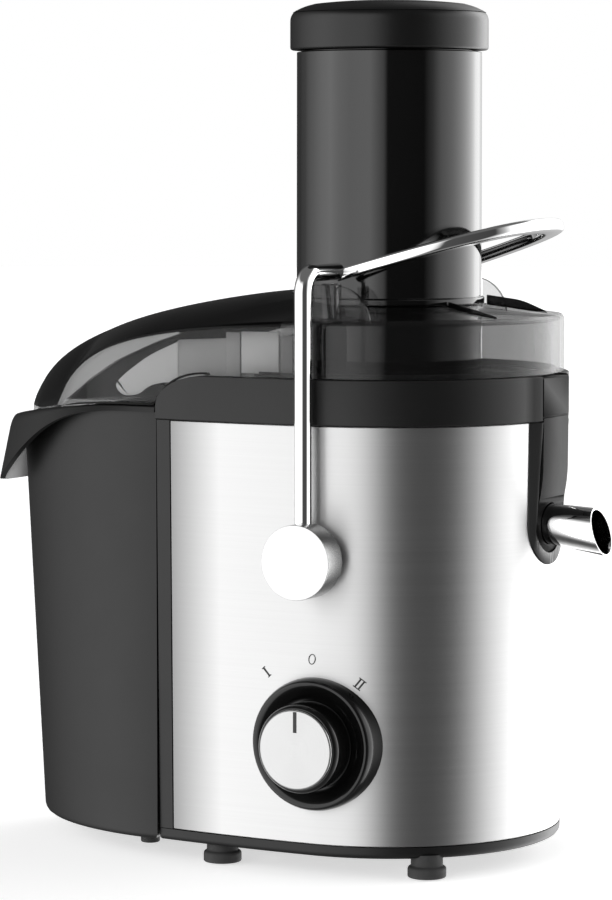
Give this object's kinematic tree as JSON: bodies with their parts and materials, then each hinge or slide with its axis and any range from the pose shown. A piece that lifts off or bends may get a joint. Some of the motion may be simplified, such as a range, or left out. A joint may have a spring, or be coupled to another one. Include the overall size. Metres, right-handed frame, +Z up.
{
  "type": "centrifugal juicer",
  "caption": "Upright centrifugal juicer: steel motor base, clear lid with wide feed tube and pusher, bail handle, dial, juice spout and slide-off pulp bin.",
  "frame": {"origin": "bottom centre of the bounding box, on the surface that the four feet rest on", "axes": "+Z up along the motor axis's direction, +X towards the juice spout, -X towards the pulp bin, -Y the control side with the dial"},
  "size_m": [0.305, 0.196, 0.3839],
  "materials": {
    "matte_black": "satin black moulded plastic",
    "gloss_black": "glossy black moulded plastic",
    "smoke_clear": "glossy smoke-tinted clear plastic",
    "brushed_steel": "brushed round the body",
    "chrome": "mirror chrome",
    "spun_aluminium": "spun face with a bright chamfer",
    "rubber": "matte black rubber",
    "motor_iron": "lamination stack and zinc-plated steel",
    "copper": "varnished winding and bare copper",
    "circuit_board": "solder mask over fibre board"
  },
  "bodies": {
    "base": {"base_plate": "matte_black", "base_screw_1": "motor_iron", "base_screw_2": "motor_iron", "base_screw_3": "motor_iron", "base_screw_4": "motor_iron", "bowl_seal": "rubber", "brush_holder_front": "copper", "brush_holder_rear": "copper", "control_board": "circuit_board", "cord_gland": "rubber", "feed_tube": "gloss_black", "foot_1": "rubber", "foot_2": "rubber", "foot_3": "rubber", "foot_4": "rubber", "inner_housing": "matte_black", "interlock_switch": "matte_black", "juice_bowl": "matte_black", "knob_bezel": "gloss_black", "lid": "smoke_clear", "lower_bearing": "brushed_steel", "lower_bracket": "motor_iron", "motor_mount_1": "rubber", "motor_mount_2": "rubber", "motor_mount_3": "rubber", "motor_mount_4": "rubber", "motor_stator": "motor_iron", "pivot_bush_front": "matte_black", "pivot_bush_rear": "matte_black", "spout": "chrome", "spout_surround": "matte_black", "steel_shell": "brushed_steel", "switch_body": "matte_black", "top_collar": "matte_black", "upper_bearing": "brushed_steel", "upper_bracket": "motor_iron"},
    "handle": {"handle_arm_front": "chrome", "handle_arm_rear": "chrome", "handle_grip": "chrome", "pivot_cap_front": "chrome", "pivot_cap_rear": "chrome", "pivot_pin_front": "motor_iron", "pivot_pin_rear": "motor_iron"},
    "dial": {"knob_skirt": "gloss_black", "knob_cap": "spun_aluminium", "knob_shaft": "motor_iron"},
    "pusher": {"pusher_sleeve": "smoke_clear", "pusher_cap": "matte_black"},
    "rotor": {"motor_shaft": "brushed_steel", "armature": "copper", "commutator": "copper", "cooling_fan": "matte_black", "drive_coupling": "matte_black", "basket_hub": "matte_black", "filter_basket": "brushed_steel", "grating_disc": "brushed_steel"},
    "bin": {"pulp_bin": "matte_black"}
  },
  "joints": [
    {"name": "handle_swing", "type": "hinge", "parent": "base", "child": "handle", "pos_m": [0.04835, 0, 0.14], "axis": [0, 1, 0], "range_deg": [0, 100]},
    {"name": "dial_turn", "type": "hinge", "parent": "base", "child": "dial", "pos_m": [0.04835, -0.08, 0.0589], "axis": [0, -1, 0], "range_deg": [-40, 40]},
    {"name": "pusher_slide", "type": "slide", "parent": "base", "child": "pusher", "axis": [0, 0, 1], "range_m": [0, 0.156]},
    {"name": "rotor_spin", "type": "hinge", "parent": "base", "child": "rotor", "pos_m": [0.04535, 0, 0.1], "axis": [0, 0, 1], "continuous": true},
    {"name": "bin_slide", "type": "slide", "parent": "base", "child": "bin", "axis": [-1, 0, 0], "range_m": [0, 0.2]}
  ]
}
